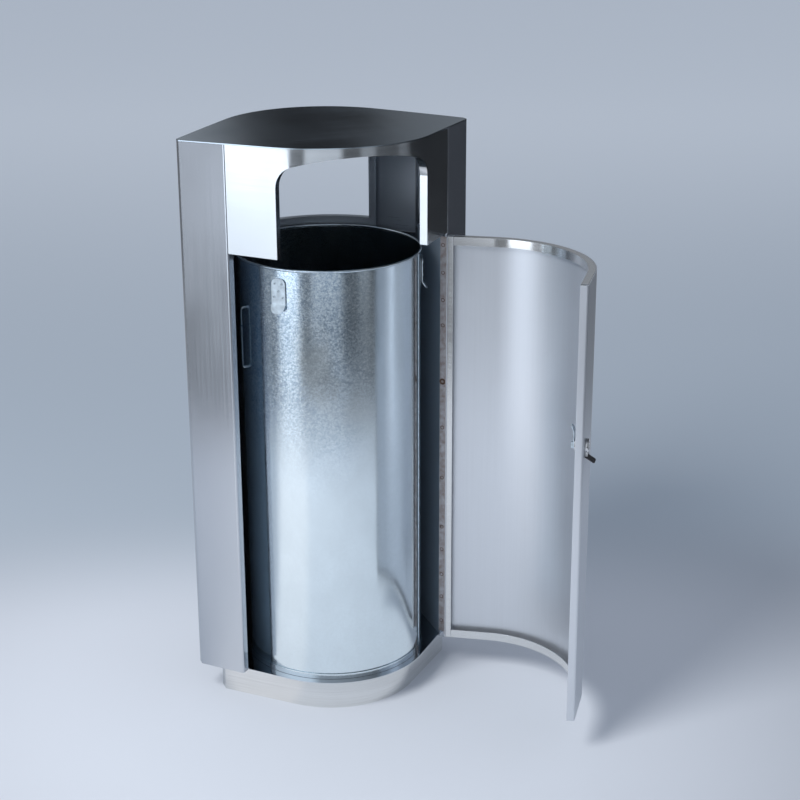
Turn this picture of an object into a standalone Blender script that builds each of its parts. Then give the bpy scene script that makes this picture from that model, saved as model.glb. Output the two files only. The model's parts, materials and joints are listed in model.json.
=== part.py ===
"""A lens-shaped litter bin of folded stainless steel sheet, with a hinged front door and a lift-out bucket.

Metres, +Z up. The origin is the middle of the foot's underside. The door is in front, at -Y, and hinges
at +X. The sheets are drawn flat, with u along the skin and depth below it, and are then rolled to the
lens. The door and the lock's flap are drawn closed and stand open on their pivots.
"""

import math

import bmesh
import bpy
from mathutils import Matrix, Vector

# Clearances shared by the whole bin
TOUCH_GAP = 0.0003
SEAM_GAP = 0.0004
WELD = 0.000002
SAME_LEVEL = 0.00002
SAME_PLANE_ANGLE = math.radians(0.05)
SHARP_ANGLE = math.radians(30)

# Casing
CASING_HEIGHT = 0.950
SKIN_RADIUS = 0.1766
FLANK_ANGLE = math.radians(46.57)
TIP_WIDTH = 0.0114
CROWN_FALL = 0.004
SHEET = 0.0015
SHEET_BEND = 0.0035
TIP_BEND = 0.0025
FLOOR_HEIGHT = 0.054
FLOOR_THICKNESS = 0.0015
FLOOR_SETBACK = 0.0018
TOP_THICKNESS = 0.0015

# Pillars
PILLAR_FLANK = 0.0819
HINGE_RETURN = 0.0135
LOCK_RETURN = 0.0175
REAR_RETURN = 0.0135
JAMB_LIP = 0.0075
LINING_THICKNESS = 0.0015

# Hoods and rear panel
HOOD_HEIGHT = 0.173
HOOD_SIDE = 0.0859
OPENING_TOP_MARGIN = 0.015
OPENING_ARCH_RADIUS = 0.408
OPENING_CORNER = 0.035
HOOD_RETURN = 0.0127
REAR_HOOD_HEIGHT = 0.203
REAR_SILL_HEIGHT = 0.019
REAR_RIM_LEG = 0.0125
LEG_STEP = 0.0006

# Foot
PLINTH_INSET = 0.0311
PLINTH_ANGLE = math.radians(44.5)
PLINTH_END_INSET = 0.0388
PLINTH_SHEET = 0.002
FOOT_THICKNESS = 0.004

# Door
DOOR_OPEN_ANGLE = math.radians(102.35)
DOOR_SILL_GAP = 0.0082
DOOR_HEAD_GAP = 0.0031
LOCK_GAP = 0.00145
HINGE_GAP = 0.0026
FRAME_DEPTH = 0.0127
RAIL_FACE = 0.014
STILE_FACE = 0.009

# Piano hinge
LEAF_THICKNESS = 0.0008
KNUCKLE_RADIUS = 0.0018
KNUCKLE_BORE = 0.0011
HINGE_PIN_RADIUS = 0.0008
HINGE_AXIS_DEPTH = 0.0003
HINGE_END_MARGIN = 0.004
HINGE_LEAF_MARGIN = 0.0008
KNUCKLES = 23

# Cam lock
LOCK_SETBACK = 0.0245
LOCK_ABOVE_FLOOR = 0.465
LOCK_RING_RADIUS = 0.011
LOCK_RING_HEIGHT = 0.005
LOCK_RING_CHAMFER = 0.0012
LOCK_BARREL_RADIUS = 0.009
LOCK_BARREL_DEPTH = 0.0164
LOCK_PLUG_RADIUS = 0.0064
LOCK_PLUG_SUNK = 0.0006
KEY_SLOT_LENGTH = 0.008
KEY_SLOT_WIDTH = 0.0016
KEY_SLOT_DEPTH = 0.004
LOCK_NUT_SIZE = 0.0125
LOCK_NUT_THICKNESS = 0.004
CAM_THICKNESS = 0.0015
CAM_REACH = 0.0325
CAM_WIDTH = 0.013
CAM_KINK_START = 0.0225
CAM_KINK_ANGLE = math.radians(24)
CAM_SQUARE = 0.007
CAM_BOLT_SIZE = 0.0055
CAM_BOLT_HEIGHT = 0.0035
FLAP_OPEN_ANGLE = math.radians(121)
FLAP_WIDTH = 0.019
FLAP_REACH = 0.0235
FLAP_THICKNESS = 0.001
FLAP_CORNER = 0.003
FLAP_PIN_RADIUS = 0.0007
FLAP_KNUCKLE_RADIUS = 0.0016
FLAP_KNUCKLE_LENGTH = 0.0105
FLAP_EAR_WIDTH = 0.002
FLAP_AXIS_HEIGHT = 0.0026

# Bucket
BUCKET_CLEARANCE = 0.0139
BUCKET_OFFSET_X = 0.0017
BUCKET_OFFSET_Y = 0.002
BUCKET_BELOW_HOOD = 0.0215
BUCKET_WALL = 0.0012
BUCKET_BEAD = 0.0021
BUCKET_BEAD_INSET = 0.0006
BUCKET_CRIMP = 0.002
BUCKET_CRIMP_HEIGHT = 0.009
BUCKET_BASE_LIFT = 0.004
LUG_FIRST_ANGLE = math.radians(221)
LUGS = 3
LUG_WIDTH = 0.025
LUG_THICKNESS = 0.0015
LUG_TOP_RADIUS = 0.0095
LUG_BELOW_RIM = 0.0165
LUG_PLATE_HEIGHT = 0.041
LUG_TONGUE = 0.0165
LUG_KICK_ANGLE = math.radians(33)
RIVET_RADIUS = 0.0024
RIVET_HEIGHT = 0.0009
RIVET_SHARES = ((0.25, 0.21), (0, 0.5), (0.32, 0.73))
GRIP_ANGLE = math.radians(190)
GRIP_WIRE_RADIUS = 0.002
GRIP_LENGTH = 0.099
GRIP_STANDOFF = 0.0115
GRIP_BEND = 0.006
GRIP_BELOW_RIM = 0.128

# Smoothness
ROLL_STEPS = 24
CROWN_STEPS = 16
BUCKET_STEPS = 64
LOCK_STEPS = 24
KNUCKLE_SIDES = 10
BEND_STEPS = 3
ARCH_STEPS = 12
CORNER_STEPS = 6
RIVET_SIDES = 8

# Worked-out places, in the plan of the skin
ROLL_END = SKIN_RADIUS * FLANK_ANGLE
HALF_LENGTH = SKIN_RADIUS / math.sin(FLANK_ANGLE) - TIP_WIDTH / 2 / math.tan(FLANK_ANGLE)
TIP_U = ROLL_END + (SKIN_RADIUS * math.cos(FLANK_ANGLE) - TIP_WIDTH / 2) / math.sin(FLANK_ANGLE)
JAMB_U = TIP_U - PILLAR_FLANK
HINGE_EDGE_U = JAMB_U - HINGE_GAP
LOCK_EDGE_U = JAMB_U - LOCK_GAP
HINGE_AXIS_U = JAMB_U - HINGE_GAP / 2
LOCK_U = -(LOCK_EDGE_U - LOCK_SETBACK)

# Worked-out heights
SHEET_TOP = CASING_HEIGHT - TOP_THICKNESS - TOUCH_GAP
HOOD_BOTTOM = CASING_HEIGHT - HOOD_HEIGHT
REAR_HOOD_BOTTOM = CASING_HEIGHT - REAR_HOOD_HEIGHT
OPENING_TOP = CASING_HEIGHT - OPENING_TOP_MARGIN
FLOOR_TOP = FLOOR_HEIGHT + FLOOR_THICKNESS
DOOR_BOTTOM = FLOOR_HEIGHT + DOOR_SILL_GAP
DOOR_TOP = HOOD_BOTTOM - DOOR_HEAD_GAP
LOCK_Z = FLOOR_HEIGHT + LOCK_ABOVE_FLOOR

# Worked-out bucket
BUCKET_RADIUS = SKIN_RADIUS - FRAME_DEPTH - BUCKET_CLEARANCE
BUCKET_FOOT = FLOOR_TOP + TOUCH_GAP
BUCKET_TOP = HOOD_BOTTOM - BUCKET_BELOW_HOOD
BEAD_Z = BUCKET_TOP - BUCKET_BEAD
SHELL_TOP = BEAD_Z - BUCKET_BEAD - TOUCH_GAP
SHELL_BOTTOM = BUCKET_FOOT + BUCKET_BASE_LIFT + BUCKET_WALL + TOUCH_GAP

# Worked-out lock, along its own axis, outward from the skin
BARREL_END = -LOCK_BARREL_DEPTH
CAM_TOP = BARREL_END - TOUCH_GAP
CAM_BOTTOM = CAM_TOP - CAM_THICKNESS
FLAP_AXIS_Y = -(LOCK_RING_RADIUS + FLAP_KNUCKLE_RADIUS + SEAM_GAP)

COLOURS = {
    "brushed_steel": ((0.52, 0.55, 0.60, 1.0), 0.34, 1.0),
    "polished_steel": ((0.62, 0.65, 0.69, 1.0), 0.12, 1.0),
    "satin_steel": ((0.60, 0.62, 0.68, 1.0), 0.45, 1.0),
    "plinth_steel": ((0.66, 0.68, 0.71, 1.0), 0.40, 1.0),
    "galvanised": ((0.53, 0.60, 0.66, 1.0), 0.32, 1.0),
    "zinc_fitting": ((0.66, 0.72, 0.78, 1.0), 0.38, 1.0),
    "hinge_steel": ((0.42, 0.41, 0.44, 1.0), 0.40, 1.0),
    "lock_chrome": ((0.62, 0.63, 0.65, 1.0), 0.18, 1.0),
    "dark_steel": ((0.13, 0.13, 0.15, 1.0), 0.45, 1.0),
}


# Scene, materials and small tools


def empty_scene():
    for obj in list(bpy.data.objects):
        bpy.data.objects.remove(obj, do_unlink=True)
    bin_parts = bpy.data.collections.new("litter_bin")
    bpy.context.scene.collection.children.link(bin_parts)
    return bin_parts


PARTS = empty_scene()


def material(name):
    found = bpy.data.materials.get(name)
    if found:
        return found
    colour, roughness, metallic = COLOURS[name]
    made = bpy.data.materials.new(name)
    made.use_nodes = True
    shader = made.node_tree.nodes["Principled BSDF"]
    shader.inputs["Base Color"].default_value = colour
    shader.inputs["Roughness"].default_value = roughness
    shader.inputs["Metallic"].default_value = metallic
    made.diffuse_color = colour
    return made


def object_of(name, data):
    obj = bpy.data.objects.new(name, data)
    PARTS.objects.link(obj)
    return obj


def evaluated_mesh(obj):
    bpy.context.view_layer.update()
    graph = bpy.context.evaluated_depsgraph_get()
    return bpy.data.meshes.new_from_object(obj.evaluated_get(graph), depsgraph=graph)


def cleaned(mesh):
    """Welds loose caps, joins faces that lie in one plane, and turns every face outward."""
    work = bmesh.new()
    work.from_mesh(mesh)
    bmesh.ops.remove_doubles(work, verts=work.verts, dist=WELD)
    bmesh.ops.dissolve_limit(
        work, angle_limit=SAME_PLANE_ANGLE, verts=work.verts, edges=work.edges
    )
    bmesh.ops.recalc_face_normals(work, faces=work.faces)
    work.to_mesh(mesh)
    work.free()
    return mesh


def taken(obj):
    """Turns a curve, or an object with modifiers, into a plain welded mesh and removes the object."""
    mesh = evaluated_mesh(obj)
    mesh.transform(obj.matrix_world)
    bpy.data.objects.remove(obj, do_unlink=True)
    return cleaned(mesh)


def extruded(name, outlines, low, high):
    """Outlines in X and Y, filled and extruded from low to high along Z. Nested outlines are holes."""
    curve = bpy.data.curves.new(name + "_outline", "CURVE")
    curve.dimensions = "2D"
    curve.fill_mode = "BOTH"
    curve.extrude = (high - low) / 2
    for outline in outlines:
        spline = curve.splines.new("POLY")
        spline.points.add(len(outline) - 1)
        for point, (x, y) in zip(spline.points, outline):
            point.co = (x, y, 0, 1)
        spline.use_cyclic_u = True
    guide = object_of(name + "_outline", curve)
    guide.location.z = (low + high) / 2
    return object_of(name, taken(guide))


def boolean(obj, other, operation):
    """Applies a Boolean with another object and removes that object."""
    modifier = obj.modifiers.new(operation.lower(), "BOOLEAN")
    modifier.operation = operation
    modifier.object = other
    joined = cleaned(evaluated_mesh(obj))
    obj.modifiers.clear()
    old = obj.data
    obj.data = joined
    bpy.data.meshes.remove(old)
    bpy.data.objects.remove(other, do_unlink=True)


def turned(name, profile, steps, closed=True):
    """Turns a profile of (radius, height) about Z. A closed one is a ring, an open one ends on the axis."""
    mesh = bpy.data.meshes.new(name + "_profile")
    count = len(profile)
    edges = [(i, i + 1) for i in range(count - 1)]
    if closed:
        edges.append((count - 1, 0))
    mesh.from_pydata([(r, 0, z) for r, z in profile], edges, [])
    guide = object_of(name + "_profile", mesh)
    screw = guide.modifiers.new("turn", "SCREW")
    screw.steps = steps
    screw.render_steps = steps
    screw.use_merge_vertices = True
    screw.merge_threshold = WELD
    return object_of(name, taken(guide))


def finished(obj, finish):
    obj.data.materials.clear()
    obj.data.materials.append(material(finish))
    obj.data.shade_smooth()
    obj.data.set_sharp_from_angle(angle=SHARP_ANGLE)
    return obj


# Outlines in a plane


def rounded(path, radius, steps=BEND_STEPS):
    """An open path whose inner corners are arcs of this radius."""
    points = [Vector(point) for point in path]
    made = [points[0]]
    for before, corner, after in zip(points, points[1:], points[2:]):
        back = (before - corner).normalized()
        on = (after - corner).normalized()
        half = back.angle(on) / 2
        reach = min(
            radius / math.tan(half), (before - corner).length / 2, (after - corner).length / 2
        )
        centre = corner + (back + on).normalized() * (reach / math.cos(half))
        first = corner + back * reach - centre
        last = corner + on * reach - centre
        sweep = math.atan2(first.cross(last), first.dot(last))
        for step in range(steps + 1):
            made.append(centre + Matrix.Rotation(sweep * step / steps, 2) @ first)
    made.append(points[-1])
    return [tuple(point) for point in made]


def beside(path, distance):
    """The path moved to its left by this distance, with mitred corners."""
    points = [Vector(point) for point in path]
    lefts = []
    for start, end in zip(points, points[1:]):
        along = (end - start).normalized()
        lefts.append(Vector((-along.y, along.x)))
    made = [points[0] + lefts[0] * distance]
    for point, left, next_left in zip(points[1:], lefts, lefts[1:]):
        mitre = (left + next_left).normalized()
        made.append(point + mitre * (distance / mitre.dot(left)))
    made.append(points[-1] + lefts[-1] * distance)
    return [tuple(point) for point in made]


def strip(path, thickness):
    """A closed outline: the path and its copy moved to the left."""
    return list(path) + beside(path, thickness)[::-1]


def rectangle(left, right, low, high):
    return [(left, low), (right, low), (right, high), (left, high)]


def circle(radius, sides, x=0, y=0):
    turns = [2 * math.pi * side / sides for side in range(sides)]
    return [(x + radius * math.cos(turn), y + radius * math.sin(turn)) for turn in turns]


# The lens plan


def on_skin(u, depth):
    """The plan point at u along the front skin from its middle, and depth below its outer face."""
    angle = min(abs(u) / SKIN_RADIUS, FLANK_ANGLE)
    straight = max(abs(u) - ROLL_END, 0)
    radius = SKIN_RADIUS - depth
    x = radius * math.sin(angle) + straight * math.cos(angle)
    y = -radius * math.cos(angle) + straight * math.sin(angle)
    return math.copysign(x, u), y


def roll_stations():
    return [ROLL_END * (2 * step / ROLL_STEPS - 1) for step in range(ROLL_STEPS + 1)]


def lens(radius, angle, half_length):
    """A closed lens outline: two arcs, four straight flanks and two flat ends."""
    end_y = radius * math.cos(angle) - (half_length - radius * math.sin(angle)) * math.tan(angle)
    front = [(-half_length, -end_y)]
    for step in range(ROLL_STEPS + 1):
        turn = angle * (2 * step / ROLL_STEPS - 1)
        front.append((radius * math.sin(turn), -radius * math.cos(turn)))
    front.append((half_length, -end_y))
    return front + [(-x, -y) for x, y in front]


def flat(name, outlines, shallow, deep):
    """A plate drawn flat: outlines of u and height, from one depth below the skin to another."""
    obj = extruded(name, outlines, -deep, -shallow)
    for vert in obj.data.vertices:
        x, y, z = vert.co
        vert.co = (x, -z, y)
    return obj


def rolled(obj, rear=False):
    """Rolls a flat sheet to the lens plan, in front or, turned round, behind."""
    work = bmesh.new()
    work.from_mesh(obj.data)
    for station in roll_stations():
        everything = work.verts[:] + work.edges[:] + work.faces[:]
        bmesh.ops.bisect_plane(
            work, geom=everything, dist=WELD, plane_co=(station, 0, 0), plane_no=(1, 0, 0)
        )
    for vert in work.verts:
        x, y = on_skin(vert.co.x, vert.co.y)
        vert.co.x = -x if rear else x
        vert.co.y = -y if rear else y
    bmesh.ops.recalc_face_normals(work, faces=work.faces)
    work.to_mesh(obj.data)
    work.free()
    return obj


def fall(x):
    """How far the crowned top lies below its middle at this x."""
    return CROWN_FALL * (x / HALF_LENGTH) ** 2


def crowned(obj, level):
    """Lowers everything at or above this level to the crown of the top."""
    for vert in obj.data.vertices:
        if vert.co.z > level - SAME_LEVEL:
            vert.co.z -= fall(vert.co.x)
    return obj


# Foot


def make_foot():
    radius = SKIN_RADIUS - PLINTH_INSET
    half_length = HALF_LENGTH - PLINTH_END_INSET
    outer = lens(radius, PLINTH_ANGLE, half_length)
    inner = lens(radius - PLINTH_SHEET, PLINTH_ANGLE, half_length - PLINTH_SHEET)
    band = extruded("plinth_band", [outer, inner], 0, FLOOR_HEIGHT - TOUCH_GAP)
    finished(band, "plinth_steel")
    inset = PLINTH_SHEET + TOUCH_GAP
    plate = lens(radius - inset, PLINTH_ANGLE, half_length - inset)
    finished(extruded("foot_plate", [plate], 0, FOOT_THICKNESS), "plinth_steel")


def notch(front_return, sheet_depth):
    """The floor plate's edge from a jamb to a tip, round the fold of the pillar."""
    jamb = JAMB_U - SEAM_GAP
    lip = JAMB_U + JAMB_LIP + SEAM_GAP
    deep = front_return + SEAM_GAP
    tip = TIP_U - SHEET
    return [
        on_skin(jamb, deep),
        on_skin(lip, deep),
        on_skin(lip, sheet_depth),
        on_skin(tip, sheet_depth),
    ]


def make_floor():
    """The plate runs from just behind the closed door to the sheets, round the folds of the pillars."""
    front_depth = FRAME_DEPTH + FLOOR_SETBACK
    sheet_depth = SHEET + SEAM_GAP
    jamb = JAMB_U - SEAM_GAP
    front = [on_skin(-jamb, front_depth)]
    front += [on_skin(station, front_depth) for station in roll_stations()]
    front.append(on_skin(jamb, front_depth))
    rear = [on_skin(-jamb, sheet_depth)]
    rear += [on_skin(station, sheet_depth) for station in roll_stations()]
    rear.append(on_skin(jamb, sheet_depth))
    hinge_side = notch(HINGE_RETURN, sheet_depth)
    lock_side = [(-x, y) for x, y in notch(LOCK_RETURN, sheet_depth)]
    rear_side = notch(REAR_RETURN, sheet_depth)
    outline = front + hinge_side
    outline += [(x, -y) for x, y in rear_side[::-1]]
    outline += [(x, -y) for x, y in rear[::-1]]
    outline += [(-x, -y) for x, y in rear_side]
    outline += lock_side[::-1]
    finished(extruded("floor_plate", [outline], FLOOR_HEIGHT, FLOOR_TOP), "polished_steel")


# Casing sheets


def make_pillar(name, front_return, side):
    """One sheet folded round a tip: a lip, a return, a flank, the tip, and the same again behind."""
    lip = JAMB_U + JAMB_LIP
    front_lip = [on_skin(lip, front_return), on_skin(JAMB_U, front_return)]
    front_fold = [on_skin(JAMB_U, 0), on_skin(TIP_U, 0)]
    rear_fold = [(x, -y) for x, y in front_fold[::-1]]
    rear_lip = [on_skin(JAMB_U, REAR_RETURN), on_skin(lip, REAR_RETURN)]
    rear_lip = [(x, -y) for x, y in rear_lip]
    front_bends = rounded(front_lip + front_fold, SHEET_BEND)
    tip_bends = rounded(front_fold + rear_fold, TIP_BEND)
    rear_bends = rounded(rear_fold + rear_lip, SHEET_BEND)
    path = front_bends[:-1] + tip_bends[1:-1] + rear_bends[1:]
    outline = [(side * x, y) for x, y in strip(path, SHEET)]
    pillar = extruded(name, [outline], FLOOR_HEIGHT, SHEET_TOP)
    finished(crowned(pillar, SHEET_TOP), "brushed_steel")


def lining_edge(sheet_return, x):
    """Where a flat lining at this x, seen in plan, meets the back of the pillar's lip."""
    start_x, start_y = on_skin(JAMB_U, sheet_return + SEAM_GAP)
    return start_y + (x - start_x) * math.tan(FLANK_ANGLE)


def make_lining(name, front_return, side):
    """The flat sheet that closes a pillar off from the bucket, from lip to lip."""
    far_x = on_skin(JAMB_U + JAMB_LIP, front_return)[0]
    near_x = far_x - LINING_THICKNESS
    front = lining_edge(front_return, far_x)
    rear = -lining_edge(REAR_RETURN, far_x)
    outline = [(side * x, y) for x, y in rectangle(near_x, far_x, front, rear)]
    low = FLOOR_TOP + TOUCH_GAP
    finished(extruded(name, [outline], low, REAR_HOOD_BOTTOM), "brushed_steel")


def arch(bottom):
    """The throw-in opening's outline of u and height, from its lower right end over to its lower left."""
    half = JAMB_U - SEAM_GAP - HOOD_SIDE
    centre = OPENING_TOP - OPENING_ARCH_RADIUS
    corner_u = half - OPENING_CORNER
    reach = OPENING_ARCH_RADIUS - OPENING_CORNER
    corner_z = centre + math.sqrt(reach**2 - corner_u**2)
    lean = math.asin(corner_u / reach)
    right = [(half, bottom)]
    for step in range(CORNER_STEPS + 1):
        turn = (math.pi / 2 - lean) * step / CORNER_STEPS
        u = corner_u + OPENING_CORNER * math.cos(turn)
        right.append((u, corner_z + OPENING_CORNER * math.sin(turn)))
    middle = []
    for step in range(1, ARCH_STEPS):
        turn = lean * (1 - 2 * step / ARCH_STEPS)
        u = OPENING_ARCH_RADIUS * math.sin(turn)
        middle.append((u, centre + OPENING_ARCH_RADIUS * math.cos(turn)))
    return right + middle + [(-u, z) for u, z in right[::-1]]


def make_front_hood():
    """The sheet over the door, with its arched opening and one return along the opening and the foot."""
    edge = JAMB_U - SEAM_GAP
    opening = arch(HOOD_BOTTOM)
    path = [(edge, HOOD_BOTTOM)] + opening + [(-edge, HOOD_BOTTOM)]
    middle = beside(path, -SHEET / 2)
    skin = middle + [(-edge, SHEET_TOP), (edge, SHEET_TOP)]
    hood = flat("front_hood", [skin], 0, SHEET)
    boolean(hood, flat("hood_return", [strip(path, -SHEET)], 0, HOOD_RETURN), "UNION")
    finished(crowned(rolled(hood), SHEET_TOP), "brushed_steel")


def make_rear_hood():
    """The sheet behind, whose opening has a return all round with a leg that stands along the skin."""
    edge = JAMB_U - SEAM_GAP
    opening = arch(REAR_HOOD_BOTTOM + REAR_SILL_HEIGHT)
    grown = {}
    for growth in (SHEET / 2, SHEET, REAR_RIM_LEG):
        jambs_and_arch = beside(opening, -growth)
        bottom = REAR_HOOD_BOTTOM + REAR_SILL_HEIGHT - growth
        right = (jambs_and_arch[0][0], bottom)
        left = (jambs_and_arch[-1][0], bottom)
        grown[growth] = [right] + jambs_and_arch[1:-1] + [left]
    skin = rectangle(-edge, edge, REAR_HOOD_BOTTOM, SHEET_TOP)
    hood = flat("rear_hood", [skin, grown[SHEET / 2]], 0, SHEET)
    rim = flat("rear_return", [grown[SHEET], opening], 0, HOOD_RETURN)
    boolean(hood, rim, "UNION")
    leg_face = HOOD_RETURN - LEG_STEP
    leg = flat("rear_leg", [grown[REAR_RIM_LEG], grown[SHEET / 2]], leg_face - SHEET, leg_face)
    boolean(hood, leg, "UNION")
    finished(crowned(rolled(hood, rear=True), SHEET_TOP), "brushed_steel")


def make_rear_panel():
    edge = JAMB_U - SEAM_GAP
    outline = rectangle(-edge, edge, FLOOR_HEIGHT, REAR_HOOD_BOTTOM - SEAM_GAP)
    finished(rolled(flat("rear_panel", [outline], 0, SHEET), rear=True), "brushed_steel")


def make_top_plate():
    tips = lens(SKIN_RADIUS, FLANK_ANGLE, HALF_LENGTH)
    plate = extruded("top_plate", [tips], CASING_HEIGHT - TOP_THICKNESS, CASING_HEIGHT)
    work = bmesh.new()
    work.from_mesh(plate.data)
    for step in range(1, CROWN_STEPS):
        x = HALF_LENGTH * (2 * step / CROWN_STEPS - 1)
        everything = work.verts[:] + work.edges[:] + work.faces[:]
        bmesh.ops.bisect_plane(
            work, geom=everything, dist=WELD, plane_co=(x, 0, 0), plane_no=(1, 0, 0)
        )
    work.to_mesh(plate.data)
    work.free()
    finished(crowned(plate, CASING_HEIGHT - TOP_THICKNESS), "brushed_steel")


# Door


def stile_path(edge_u, inner_u):
    """The inner angle of a stile in u and depth: along the door's end face, then along the skin."""
    return [
        (edge_u, SHEET + SEAM_GAP + SHEET_BEND),
        (edge_u, FRAME_DEPTH),
        (inner_u, FRAME_DEPTH),
    ]


def in_plan(path):
    return [on_skin(u, depth) for u, depth in path]


def make_door_skin():
    """The rolled door sheet, with both upright edges folded in to the frame's depth."""
    left = [(-LOCK_EDGE_U, FRAME_DEPTH), (-LOCK_EDGE_U, 0), (0, 0)]
    right = [(0, 0), (HINGE_EDGE_U, 0), (HINGE_EDGE_U, FRAME_DEPTH)]
    left_bend = [on_skin(u, depth) for u, depth in rounded(left, SHEET_BEND)[:-1]]
    right_bend = [on_skin(u, depth) for u, depth in rounded(right, SHEET_BEND)[1:]]
    path = left_bend + [on_skin(station, 0) for station in roll_stations()] + right_bend
    skin = extruded("door_skin", [strip(path, SHEET)], DOOR_BOTTOM, DOOR_TOP)
    outline = circle(LOCK_BARREL_RADIUS + TOUCH_GAP, LOCK_STEPS)
    hole = extruded("lock_hole", [outline], -FRAME_DEPTH, FRAME_DEPTH)
    hole.data.transform(lock_place())
    boolean(skin, hole, "DIFFERENCE")
    return finished(skin, "satin_steel")


def make_stile(name, side, edge_u):
    """A steel angle inside one upright edge of the door."""
    outer = edge_u - SHEET - SEAM_GAP
    inner = outer - STILE_FACE
    path = in_plan(stile_path(outer, inner))
    outline = [(side * x, y) for x, y in strip(path, SHEET)]
    return finished(extruded(name, [outline], DOOR_BOTTOM, DOOR_TOP), "satin_steel")


def make_rail(name, low, high, web_low):
    """A rolled angle between the stiles: a level web from the skin and a face along the frame's depth."""
    right = HINGE_EDGE_U - SHEET - SEAM_GAP - STILE_FACE - SEAM_GAP
    left = -(LOCK_EDGE_U - SHEET - SEAM_GAP - STILE_FACE - SEAM_GAP)
    skin_side = SHEET + SEAM_GAP
    face = flat(name, [rectangle(left, right, low, high)], FRAME_DEPTH - SHEET, FRAME_DEPTH)
    web_outline = [rectangle(left, right, web_low, web_low + SHEET)]
    boolean(face, flat("web", web_outline, skin_side, FRAME_DEPTH - SHEET / 2), "UNION")
    return finished(rolled(face), "satin_steel")


# Hinge


def hinge_axis():
    x, y = on_skin(HINGE_AXIS_U, HINGE_AXIS_DEPTH)
    return Vector((x, y, 0))


def make_leaf(name, near_u, far_u, parity):
    """One leaf of the piano hinge, whose every second knuckle rings the pin."""
    low = DOOR_BOTTOM + HINGE_END_MARGIN
    high = DOOR_TOP - HINGE_END_MARGIN
    pitch = (high - low) / KNUCKLES
    joined = HINGE_AXIS_DEPTH + (KNUCKLE_RADIUS + KNUCKLE_BORE) / 2
    clear = HINGE_AXIS_DEPTH + KNUCKLE_RADIUS + SEAM_GAP
    deep = FRAME_DEPTH - HINGE_LEAF_MARGIN
    comb = [(deep, high), (deep, low)]
    for knuckle in range(KNUCKLES):
        start = low + knuckle * pitch
        own = knuckle % 2 == parity
        inset = SEAM_GAP / 2 if own else -SEAM_GAP / 2
        start_z = start + inset if knuckle else start
        end_z = start + pitch - inset if knuckle < KNUCKLES - 1 else high
        shallow = joined if own else clear
        comb += [(shallow, start_z), (shallow, end_z)]
    leaf = extruded(name, [comb], near_u, far_u)
    across = (on_skin(far_u, 0)[0] - on_skin(near_u, 0)[0]) / (far_u - near_u)
    along = Vector((across, math.sqrt(1 - across**2), 0))
    inward = Vector((-along.y, along.x, 0))
    at = Vector((*on_skin(ROLL_END, 0), 0)) - along * ROLL_END
    frame = Matrix((inward, Vector((0, 0, 1)), along)).transposed().to_4x4()
    leaf.data.transform(Matrix.Translation(at) @ frame)
    centre = hinge_axis()
    ring = [circle(KNUCKLE_RADIUS, KNUCKLE_SIDES), circle(KNUCKLE_BORE, KNUCKLE_SIDES)]
    for knuckle in range(parity, KNUCKLES, 2):
        start = low + knuckle * pitch + SEAM_GAP / 2
        tube = extruded("knuckle", ring, start, start + pitch - SEAM_GAP)
        tube.data.transform(Matrix.Translation(centre))
        boolean(leaf, tube, "UNION")
    return finished(leaf, "hinge_steel")


def make_hinge_pin():
    low = DOOR_BOTTOM + HINGE_END_MARGIN
    high = DOOR_TOP - HINGE_END_MARGIN
    pin = extruded("hinge_pin", [circle(HINGE_PIN_RADIUS, KNUCKLE_SIDES)], low, high)
    pin.data.transform(Matrix.Translation(hinge_axis()))
    finished(pin, "hinge_steel")


# Lock, drawn about its own axis: Z outward from the skin, Y up


def lock_place():
    """Where the lock's own frame lies on the closed door."""
    outward = Vector((-math.sin(FLANK_ANGLE), -math.cos(FLANK_ANGLE), 0))
    up = Vector((0, 0, 1))
    frame = Matrix((up.cross(outward), up, outward)).transposed().to_4x4()
    return Matrix.Translation((*on_skin(LOCK_U, 0), LOCK_Z)) @ frame


def lying_across(obj):
    """Turns a thing drawn along Z to lie along the lock's X."""
    obj.data.transform(Matrix.Rotation(math.pi / 2, 4, "Y"))
    return obj


def make_lock_housing():
    """The flanged ring with its barrel, and two ears below that carry the flap's pin."""
    bore = LOCK_PLUG_RADIUS + TOUCH_GAP
    top = LOCK_RING_HEIGHT
    low = TOUCH_GAP
    profile = [
        (bore, top),
        (LOCK_RING_RADIUS - LOCK_RING_CHAMFER, top),
        (LOCK_RING_RADIUS, top - LOCK_RING_CHAMFER),
        (LOCK_RING_RADIUS, low),
        (LOCK_BARREL_RADIUS, low),
        (LOCK_BARREL_RADIUS, BARREL_END),
        (bore, BARREL_END),
    ]
    housing = turned("lock_housing", profile, LOCK_STEPS)
    ear_far = FLAP_AXIS_Y - FLAP_KNUCKLE_RADIUS
    ear_top = FLAP_AXIS_HEIGHT + FLAP_KNUCKLE_RADIUS
    ear_in = FLAP_KNUCKLE_LENGTH / 2 + SEAM_GAP
    ear_out = ear_in + FLAP_EAR_WIDTH
    ear_near = LOCK_RING_CHAMFER - math.sqrt(LOCK_RING_RADIUS**2 - ear_out**2)
    for side in (-1, 1):
        ends = sorted((side * ear_in, side * ear_out))
        outline = rectangle(*ends, ear_far, ear_near)
        boolean(housing, extruded("ear", [outline], low, ear_top), "UNION")
    bore_outline = [circle(FLAP_PIN_RADIUS + TOUCH_GAP, RIVET_SIDES)]
    pin_bore = lying_across(extruded("pin_bore", bore_outline, -FLAP_WIDTH, FLAP_WIDTH))
    pin_bore.data.transform(Matrix.Translation((0, FLAP_AXIS_Y, FLAP_AXIS_HEIGHT)))
    boolean(housing, pin_bore, "DIFFERENCE")
    return finished(housing, "lock_chrome")


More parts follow.
